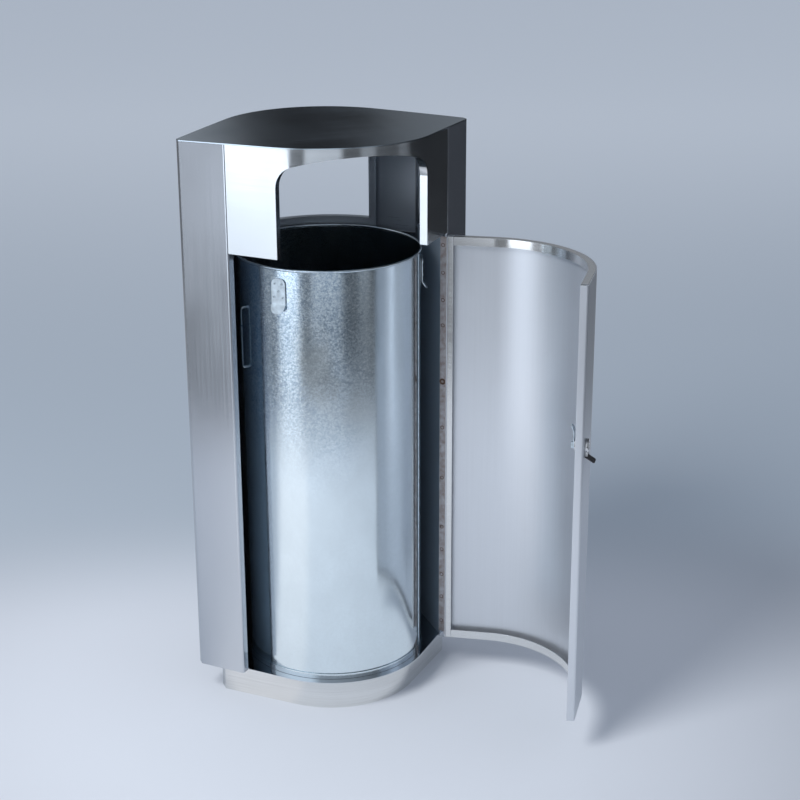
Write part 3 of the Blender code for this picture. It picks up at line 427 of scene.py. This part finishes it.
FINISHES = {
    "pillar": brushed(
        "pillar_steel", (0.52, 0.55, 0.60), 0.19, 0.5, ROUND_THE_SHEET, UPRIGHT_BRUSHING,
        metal=0.85, lean=0.14, depth=0.3,
    ),
    "hood": brushed(
        "hood_steel", (0.54, 0.57, 0.60), 0.16, 0.8, UP, LEVEL_BRUSHING,
        metal=0.96, depth=0.6,
    ),
    # A lighter, more matte copy of the hood's steel, so that the rear hood's shaded inside looks lit: painted
    # light
    "panel": brushed(
        "lightened_inner_steel", (0.62, 0.67, 0.73), 0.3, 0.3, UP, LEVEL_BRUSHING,
        metal=0.66, depth=0,
    ),
    "lining": brushed(
        "lining_steel", (0.44, 0.54, 0.64), 0.4, 0.3, ROUND_THE_SHEET, UPRIGHT_BRUSHING,
        metal=0.45, depth=0.3,
    ),
    "top": brushed(
        "top_steel", (0.48, 0.55, 0.62), 0.19, 0.8, BACK, TOP_BRUSHING,
        depth=1.4,
    ),
    "floor": brushed(
        "polished_steel", (0.60, 0.63, 0.67), 0.06, 0.3, BACK, TOP_BRUSHING,
        depth=0.5,
    ),
    "satin": brushed(
        "satin_steel", (0.62, 0.65, 0.70), 0.34, 0.3, ROUND_THE_SHEET, UPRIGHT_BRUSHING,
        metal=0.75, depth=0.5,
    ),
    "frame": brushed(
        "frame_steel", (0.66, 0.67, 0.68), 0.15, 0.4, UP, LEVEL_BRUSHING,
        metal=0.9,
    ),
    "plinth": brushed(
        "plinth_steel", (0.69, 0.70, 0.71), 0.16, 0.7, UP, LEVEL_BRUSHING,
        metal=0.94, depth=2.6,
    ),
    "zinc": galvanised("galvanised", (0.69, 0.77, 0.82)),
    "fitting": plain_metal("zinc_fitting", (0.66, 0.75, 0.82), 0.34),
    "hinge": plain_metal("hinge_steel", (0.46, 0.44, 0.46), 0.40, tint=(0.30, 0.25, 0.23, 1)),
    "rust": plain_metal("rust_tint", (0.18, 0.115, 0.085), 0.6),
    "chrome": plain_metal("lock_chrome", (0.66, 0.67, 0.69), 0.14),
    "wire": plain_metal("grip_wire", (0.36, 0.42, 0.47), 0.3),
    "dark": plain_metal("dark_steel", (0.16, 0.16, 0.18), 0.42),
}


# Dressed sheets


def facet_roll(centre, heading, half_angle):
    """A roll that the frame holds in flat facets: where its axis is and where its middle faces."""
    return {"centre": Vector(centre), "heading": heading, "half": half_angle}


def turn_in(roll, point):
    """How far round the roll this point lies, from the roll's middle, and how far out."""
    out = Vector((point.x, point.y)) - roll["centre"]
    turn = math.atan2(out.y, out.x) - roll["heading"]
    return (turn + math.pi) % (2 * math.pi) - math.pi, out.length


def finely_rolled(work, roll):
    """Cuts each flat facet of the roll into finer ones that lie on the true curve."""
    facet = 2 * roll["half"] / ROLL_FACETS
    known = set()
    for vert in work.verts:
        turn, radius = turn_in(roll, vert.co)
        share = (turn + roll["half"]) / facet
        if abs(turn) <= roll["half"] + SAME_PLACE and abs(share - round(share)) < SAME_FACET_SHARE:
            known.add(round(radius, RADIUS_DIGITS))
    centre = Vector((*roll["centre"], 0))
    for cut in range(ROLL_FACETS * FINER + 1):
        if cut % FINER == 0:
            continue
        turn = roll["heading"] - roll["half"] + facet * cut / FINER
        out = Vector((math.cos(turn), math.sin(turn), 0))
        side = Vector((-math.sin(turn), math.cos(turn), 0))
        near = [face for face in work.faces if (face.calc_center_median() - centre).dot(out) > 0]
        parts = list({item for face in near for item in (*face.verts, *face.edges, face)})
        bmesh.ops.bisect_plane(work, geom=parts, dist=SAME_PLACE, plane_co=centre, plane_no=side)
    for vert in work.verts:
        turn, radius = turn_in(roll, vert.co)
        if abs(turn) >= roll["half"] or any(abs(radius - kept) < SAME_RADIUS for kept in known):
            continue
        facet_share = (turn + roll["half"]) / facet % 1
        grown = math.cos((facet_share - 0.5) * facet) / math.cos(facet / 2)
        out = Vector((vert.co.x, vert.co.y)) - roll["centre"]
        vert.co.x = roll["centre"].x + out.x * grown
        vert.co.y = roll["centre"].y + out.y * grown


def dressed(node, finish, rolls=(), softness=EDGE_SOFTNESS):
    """A copy of a frame node, with finer rolls and softened edges, that stands for the node."""
    mesh = frame["nodes"][node].data.copy()
    piece = link(bpy.data.objects.new(node + "_sheet", mesh))
    work = bmesh.new()
    work.from_mesh(mesh)
    bmesh.ops.remove_doubles(work, verts=work.verts, dist=SAME_PLACE)
    bmesh.ops.dissolve_limit(work, angle_limit=SAME_PLANE_ANGLE, verts=work.verts, edges=work.edges)
    for roll in rolls:
        finely_rolled(work, roll)
    if softness:
        sharp = [
            edge for edge in work.edges if edge.is_manifold and edge.calc_face_angle() > SHARP_ANGLE
        ]
        bmesh.ops.bevel(
            work, geom=sharp, offset=softness, offset_type="OFFSET", segments=EDGE_SEGMENTS,
            profile=EDGE_PROFILE, affect="EDGES", clamp_overlap=True,
        )
    work.to_mesh(mesh)
    work.free()
    for layer in list(mesh.attributes):
        if layer.name.startswith("custom_normal"):
            mesh.attributes.remove(layer)
    shaded(mesh)
    weighted(piece)
    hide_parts(node)
    return placed(piece, body_of(node), FINISHES[finish])


def door_roll():
    """The door's roll as it stands open, turned about the hinge."""
    joint = next(joint for joint in frame["joints"] if joint["name"] == "door_swing")
    opened = -math.radians(joint["range_deg"][0])
    hinge = Vector(joint["pos_m"][:2])
    centre = hinge + Matrix.Rotation(opened, 2) @ -hinge
    return facet_roll(centre, opened - math.pi / 2, FLANK_ANGLE)


# Linings carried on up to the hood

LINING_RAISE = 0.019
TOP_BAND = 0.002


def raise_top(piece):
    """Carries the lining on up to the hood, so that the tip's hollow doesn't show above it."""
    top = max(vert.co.z for vert in piece.data.vertices)
    for vert in piece.data.vertices:
        if vert.co.z > top - TOP_BAND:
            vert.co.z += LINING_RAISE


def dress_sheets():
    front = facet_roll((0, 0), -math.pi / 2, FLANK_ANGLE)
    rear = facet_roll((0, 0), math.pi / 2, FLANK_ANGLE)
    door = door_roll()
    foot = [
        facet_roll((0, 0), -math.pi / 2, PLINTH_ANGLE),
        facet_roll((0, 0), math.pi / 2, PLINTH_ANGLE),
    ]
    dressed("plinth_band", "plinth", foot)
    dressed("foot_plate", "plinth", foot)
    dressed("floor_plate", "floor", [front, rear])
    dressed("left_pillar", "pillar", softness=FOLD_SOFTNESS)
    dressed("right_pillar", "pillar", softness=FOLD_SOFTNESS)
    raise_top(dressed("left_lining", "lining"))
    raise_top(dressed("right_lining", "lining"))
    dressed("front_hood", "hood", [front], 0)
    # The rear hood takes the lighter, more matte steel so that its shaded inside looks lit: painted light
    dressed("rear_hood", "panel", [rear], 0)
    dressed("rear_panel", "hood", [rear])
    dressed("top_plate", "top", [front, rear])
    dressed("door_skin", "satin", [door])
    dressed("door_lock_stile", "frame")
    dressed("door_hinge_stile", "frame")
    dressed("door_bottom_rail", "frame", [door])
    dressed("door_top_rail", "frame", [door])


# Fittings

GRIP_SHARE = 0.62
FLAP_SHARE = 0.68
FLAP_KNUCKLE = 0.0022


def draw_in_grip(piece):
    """Draws the wire grip in towards the bucket's wall."""
    low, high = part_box("bucket_shell")
    wall = (high.x - low.x) / 2
    axis = bucket_axis()
    for vert in piece.data.vertices:
        out = Vector((vert.co.x - axis.x, vert.co.y - axis.y, 0))
        reach = out.length - wall
        vert.co -= out.normalized() * reach * (1 - GRIP_SHARE)


def shorten_flap(piece):
    """Draws the plate of the dust flap in towards its pin."""
    low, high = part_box("lock_flap_pin")
    pin = (low + high) / 2
    plate = max(piece.data.polygons, key=lambda face: face.area)
    along = plate.center - pin
    along = (along - plate.normal * along.dot(plate.normal)).normalized()
    for vert in piece.data.vertices:
        reach = (vert.co - pin).dot(along) - FLAP_KNUCKLE
        if reach > 0:
            vert.co -= along * reach * (1 - FLAP_SHARE)


def dress_fittings():
    for node in ("hinge_casing_leaf", "hinge_door_leaf", "hinge_pin"):
        dressed(node, "hinge", softness=0)
    for node in ("lock_housing", "lock_nut", "lock_flap_pin", "lock_plug"):
        dressed(node, "chrome", softness=FITTING_SOFTNESS)
    dressed("lock_cam", "fitting", softness=FITTING_SOFTNESS)
    shorten_flap(dressed("lock_flap", "dark", softness=FITTING_SOFTNESS))
    dressed("cam_bolt", "fitting", softness=BOLT_SOFTNESS)
    for number in range(1, LUGS + 1):
        dressed(f"bucket_lug_{number}", "fitting", softness=LUG_SOFTNESS)
    draw_in_grip(dressed("bucket_grip", "wire", softness=0))


# Bucket

BUCKET_STEPS = 192
BUCKET_WALL = 0.0012
SHELL_LEVELS = 60
SHELL_WAVE = 0.00022
SHELL_WAVES_ROUND = 2.2
SHELL_WAVES_UP = 9
SHELL_CALM_SHARE = 1 / 6
RIM_SIDES = 16
LUGS = 3


def bucket_axis():
    low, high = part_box("bucket_rim")
    return (low + high) / 2


def mesh_of(name, verts, faces):
    """A closed mesh whose faces look outward."""
    mesh = bpy.data.meshes.new(name)
    mesh.from_pydata(verts, [], faces)
    work = bmesh.new()
    work.from_mesh(mesh)
    bmesh.ops.recalc_face_normals(work, faces=work.faces)
    work.to_mesh(mesh)
    work.free()
    shaded(mesh)
    return link(bpy.data.objects.new(name, mesh))


def ringed(name, rings, axis):
    """A ring-shaped mesh about an upright axis, from rings of (radius, height) for each step."""
    verts = []
    for ring in rings:
        for step, (radius, height) in enumerate(ring):
            turn = 2 * math.pi * step / BUCKET_STEPS
            verts.append((axis.x + radius * math.cos(turn), axis.y + radius * math.sin(turn), height))
    faces = []
    for row in range(len(rings)):
        first = row * BUCKET_STEPS
        second = (row + 1) % len(rings) * BUCKET_STEPS
        for step in range(BUCKET_STEPS):
            on = (step + 1) % BUCKET_STEPS
            faces.append((first + step, first + on, second + on, second + step))
    return mesh_of(name, verts, faces)


def even(radius, height):
    return [(radius, height)] * BUCKET_STEPS


def shell_ring(radius, low, high, share):
    """A ring of the shell with the slight waves of thin rolled sheet, calm near both ends."""
    calm = min(1, share / SHELL_CALM_SHARE, (1 - share) / SHELL_CALM_SHARE)
    height = low + (high - low) * share
    ring = []
    for step in range(BUCKET_STEPS):
        turn = 2 * math.pi * step / BUCKET_STEPS
        place = Vector((math.cos(turn), math.sin(turn), 0)) * SHELL_WAVES_ROUND
        place.z = height * SHELL_WAVES_UP
        ring.append((radius + SHELL_WAVE * calm * noise.noise(place), height))
    return ring


def make_bucket():
    axis = bucket_axis()
    low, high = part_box("bucket_shell")
    outer = (high.x - low.x) / 2
    shares = [level / SHELL_LEVELS for level in range(SHELL_LEVELS + 1)]
    rings = [shell_ring(outer - SHELL_WAVE, low.z, high.z, share) for share in shares]
    rings += [shell_ring(outer - BUCKET_WALL, low.z, high.z, share) for share in shares[::-1]]
    shell = ringed("bucket_wall", rings, axis)
    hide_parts("bucket_shell")
    placed(shell, "bucket", FINISHES["zinc"])

    low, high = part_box("bucket_rim")
    bead = (high.z - low.z) / 2
    centre = (high.x - low.x) / 2 - bead
    rings = []
    for side in range(RIM_SIDES):
        turn = 2 * math.pi * side / RIM_SIDES
        rings.append(even(centre + bead * math.cos(turn), low.z + bead + bead * math.sin(turn)))
    rim = ringed("rolled_rim", rings, axis)
    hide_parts("bucket_rim")
    placed(rim, "bucket", FINISHES["zinc"])

    dressed("bucket_base", "zinc", softness=BASE_SOFTNESS)
    make_bucket_seam(axis, outer)


SEAM_TURN = math.radians(-34)
SEAM_WIDTH = 0.005
SEAM_THICKNESS = 0.0006
SEAM_STEPS = 6


def make_bucket_seam(axis, outer):
    """The lap of the rolled sheet: a flat strip up the wall from the crimp to the rim."""
    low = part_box("bucket_base")[1].z
    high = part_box("bucket_rim")[0].z
    verts = []
    for step in range(SEAM_STEPS + 1):
        turn = SEAM_TURN + (step / SEAM_STEPS - 0.5) * SEAM_WIDTH / outer
        out = Vector((math.cos(turn), math.sin(turn), 0))
        for radius in (outer - SEAM_THICKNESS, outer + SEAM_THICKNESS):
            for height in (low, high):
                verts.append(Vector((axis.x, axis.y, height)) + out * radius)
    faces = [(0, 1, 3, 2), tuple(4 * SEAM_STEPS + corner for corner in (0, 2, 3, 1))]
    for step in range(SEAM_STEPS):
        for near, far in ((0, 1), (1, 3), (3, 2), (2, 0)):
            first = 4 * step
            faces.append((first + near, first + 4 + near, first + 4 + far, first + far))
    seam = mesh_of("bucket_seam", verts, faces)
    placed(seam, "bucket", FINISHES["fitting"])


# Rivets and screws

DOME_SEGMENTS = 16
DOME_RINGS = 8
LUG_FIRST_ANGLE = math.radians(221)
LUG_PLATE_HEIGHT = 0.041
LUG_WIDTH = 0.025
LUG_FACE = 0.0018
RIVET_SHARES = ((-0.25, 0.21), (0.25, 0.21), (0, 0.5), (-0.32, 0.73), (0.32, 0.73))
RIVET_RADIUS = 0.0019
RIVET_HEIGHT = 0.001375


def dome(name, place, out, radius, height, body, finish):
    """A low round head that stands on a face."""
    mesh = bpy.data.meshes.new(name)
    work = bmesh.new()
    bmesh.ops.create_uvsphere(
        work, u_segments=DOME_SEGMENTS, v_segments=DOME_RINGS, radius=radius
    )
    bmesh.ops.scale(work, vec=(1, 1, height / radius), verts=work.verts)
    turned = out.to_track_quat("Z", "Y").to_matrix().to_4x4()
    bmesh.ops.transform(work, matrix=turned, verts=work.verts)
    bmesh.ops.translate(work, vec=place, verts=work.verts)
    work.to_mesh(mesh)
    work.free()
    shaded(mesh)
    return placed(link(bpy.data.objects.new(name, mesh)), body, finish)


def make_rivets():
    """Weathered heads on the plates of the three lugs."""
    axis = bucket_axis()
    low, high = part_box("bucket_shell")
    face = (high.x - low.x) / 2 + LUG_FACE
    for lug in range(1, LUGS + 1):
        angle = LUG_FIRST_ANGLE + 2 * math.pi * (lug - 1) / LUGS
        out = Vector((math.cos(angle), math.sin(angle), 0))
        along = Vector((-math.sin(angle), math.cos(angle), 0))
        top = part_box(f"bucket_lug_{lug}")[1].z
        for number, (across_share, down_share) in enumerate(RIVET_SHARES, 1):
            place = Vector((axis.x, axis.y, top - down_share * LUG_PLATE_HEIGHT))
            place += out * face + along * across_share * LUG_WIDTH
            dome(
                f"lug_{lug}_rivet_{number}", place, out, RIVET_RADIUS, RIVET_HEIGHT,
                "bucket", FINISHES["wire"],
            )


HINGE_SCREW_HEIGHTS = (
    0.756, 0.710, 0.664, 0.621, 0.524, 0.443, 0.353, 0.263, 0.221, 0.174, 0.132, 0.086,
)
SCREW_RADIUS = 0.0024
SCREW_HEIGHT = 0.0002
SCREW_FROM_EDGE = 0.0048
STAIN_RADIUS = 0.0034
WELD_STAIN_RADIUS = 0.0055
WELD_HEIGHT = 0.524
STAIN_HEIGHT = 0.0001


def make_hinge_screws():
    """Round heads down the casing's leaf, each in a ring of rust."""
    points = [vert.co for vert in frame["nodes"]["hinge_casing_leaf"].data.vertices]
    out = Vector((-math.cos(FLANK_ANGLE), -math.sin(FLANK_ANGLE), 0))
    inward = Vector((-math.sin(FLANK_ANGLE), math.cos(FLANK_ANGLE), 0))
    deep = max(point.dot(inward) for point in points)
    face = max(point.dot(out) for point in points if point.dot(inward) > deep - SAME_RADIUS)
    for number, height in enumerate(HINGE_SCREW_HEIGHTS, 1):
        place = out * face + inward * (deep - SCREW_FROM_EDGE) + Vector((0, 0, height))
        stain = WELD_STAIN_RADIUS if height == WELD_HEIGHT else STAIN_RADIUS
        dome(
            f"hinge_stain_{number}", place, out, stain, STAIN_HEIGHT,
            "casing", FINISHES["rust"],
        )
        dome(
            f"hinge_screw_{number}", place, out, SCREW_RADIUS, SCREW_HEIGHT,
            "casing", FINISHES["hinge"],
        )


# Stage, light and camera


def azimuth_of(tree, vector):
    """How far a direction lies round from the door side, which is 0, in radians."""
    parts = parts_of(tree, vector)
    return math_of(tree, "ARCTAN2", parts[0], math_of(tree, "MULTIPLY", parts[1], -1))


def make_floor():
    mesh = bpy.data.meshes.new("floor")
    work = bmesh.new()
    bmesh.ops.create_circle(work, cap_ends=True, segments=FLOOR_SEGMENTS, radius=FLOOR_RADIUS)
    work.to_mesh(mesh)
    work.free()
    floor = link(bpy.data.objects.new("floor", mesh))
    material, tree, shader = new_material("pale_floor")
    place = place_of(tree)
    distance = wire(tree, "ShaderNodeVectorMath", {0: place}, operation="LENGTH").outputs["Value"]
    behind = (-math.sin(CAMERA_AZIMUTH), math.cos(CAMERA_AZIMUTH), 0)
    depth = vector_of(tree, "DOT_PRODUCT", place, behind, "Value")
    # Painted light and shade: darker towards the edge and in a band behind, paler far off
    edge = eased(tree, distance, VIGNETTE_START, VIGNETTE_END)
    colour = blended(tree, edge, FLOOR_TONE, FALLOFF_SHADE_TONE)
    colour = blended(tree, eased(tree, depth, SWEEP_START, SWEEP_END), colour, BAND_SHADE_TONE)
    colour = blended(tree, eased(tree, depth, SWEEP_END, FAR_END), colour, FAR_TONE)
    # Painted reflection: for glossy rays the floor is lighter or darker by direction
    turn = azimuth_of(tree, place)
    beside = eased(tree, turn, *FLANK_TURN)
    in_metal = blended(tree, beside, FLOOR_FLANK_IN_METAL, FLOOR_LEFT_IN_METAL)
    in_metal = blended(tree, eased(tree, turn, *FLOOR_TURN), in_metal, FLOOR_FRONT_IN_METAL)
    glossy = wire(tree, "ShaderNodeLightPath").outputs["Is Glossy Ray"]
    colour = blended(tree, glossy, colour, in_metal)
    shader.inputs["Roughness"].default_value = FLOOR_ROUGHNESS
    shader.inputs["Specular IOR Level"].default_value = FLOOR_SPECULAR
    feed(tree, shader, colour=colour)
    far = eased(tree, distance, FLOOR_FADE_START, FLOOR_FADE_END)
    gone = math_of(tree, "MULTIPLY", glossy, far)
    clear = wire(tree, "ShaderNodeBsdfTransparent").outputs[0]
    mixed = wire(tree, "ShaderNodeMixShader", {0: gone, 1: shader.outputs[0], 2: clear})
    tree.links.new(mixed.outputs[0], tree.nodes["Material Output"].inputs["Surface"])
    mesh.materials.append(material)


def ramp_of(tree, share, table):
    """Brightness by azimuth, as a share of the brightest."""
    node = wire(tree, "ShaderNodeValToRGB", {"Fac": share})
    ramp = node.color_ramp
    while len(ramp.elements) > 1:
        ramp.elements.remove(ramp.elements[-1])
    for number, (azimuth, level) in enumerate(table):
        position = math.radians(azimuth) / (2 * math.pi) + 0.5
        element = ramp.elements[0] if number == 0 else ramp.elements.new(position)
        element.position = position
        element.color = (*[level / PANORAMA_PEAK] * 3, 1)
    return node.outputs["Color"]


def make_world():
    world = bpy.data.worlds.new("studio")
    bpy.context.scene.world = world
    world.use_nodes = True
    tree = world.node_tree
    direction = wire(tree, "ShaderNodeTexCoord").outputs["Generated"]
    up = parts_of(tree, direction)[2]
    turn = azimuth_of(tree, direction)
    share = math_of(tree, "ADD", math_of(tree, "DIVIDE", turn, 2 * math.pi), 0.5)
    low, level, high = (
        ramp_of(tree, share, table) for table in (LOW_PANORAMA, LEVEL_PANORAMA, HIGH_PANORAMA)
    )
    panorama = blended(tree, eased(tree, up, *LOW_TO_LEVEL), low, level)
    panorama = blended(tree, eased(tree, up, *LEVEL_TO_HIGH), panorama, high)
    tint = [PANORAMA_PEAK * part for part in PANORAMA_TINT]
    panorama = vector_of(tree, "MULTIPLY", panorama, tint)
    path = wire(tree, "ShaderNodeLightPath").outputs
    seen = blended(tree, path["Is Camera Ray"], AMBIENT, SKY)
    colour = blended(tree, path["Is Glossy Ray"], seen, panorama)
    background = tree.nodes["Background"]
    tree.links.new(colour, background.inputs["Color"])


def make_key_light():
    lamp = bpy.data.lights.new("key", "AREA")
    lamp.energy = KEY_POWER
    lamp.shape = "DISK"
    lamp.size = KEY_SIZE
    key = link(bpy.data.objects.new("key", lamp))
    key.location = KEY_PLACE
    key.rotation_mode = "QUATERNION"
    key.rotation_quaternion = (Vector(KEY_AIM) - key.location).to_track_quat("-Z", "Y")
    key.visible_glossy = False


def make_camera():
    back = Vector((
        math.sin(CAMERA_AZIMUTH) * math.cos(CAMERA_PITCH),
        -math.cos(CAMERA_AZIMUTH) * math.cos(CAMERA_PITCH),
        math.sin(CAMERA_PITCH),
    ))
    level = Vector((0, 0, 1)).cross(back).normalized()
    upright = back.cross(level)
    right = level * math.cos(CAMERA_ROLL) + upright * math.sin(CAMERA_ROLL)
    up = upright * math.cos(CAMERA_ROLL) - level * math.sin(CAMERA_ROLL)
    data = bpy.data.cameras.new("camera")
    data.sensor_width = CAMERA_SENSOR
    data.lens = CAMERA_LENS
    camera = link(bpy.data.objects.new("camera", data))
    turn = Matrix((right, up, back)).transposed().to_4x4()
    camera.matrix_world = Matrix.Translation(CAMERA_PLACE) @ turn
    bpy.context.scene.camera = camera


dress_sheets()
dress_fittings()
make_bucket()
make_rivets()
make_hinge_screws()
make_floor()
make_world()
make_key_light()
make_camera()
bpy.context.scene.view_settings.view_transform = "Standard"
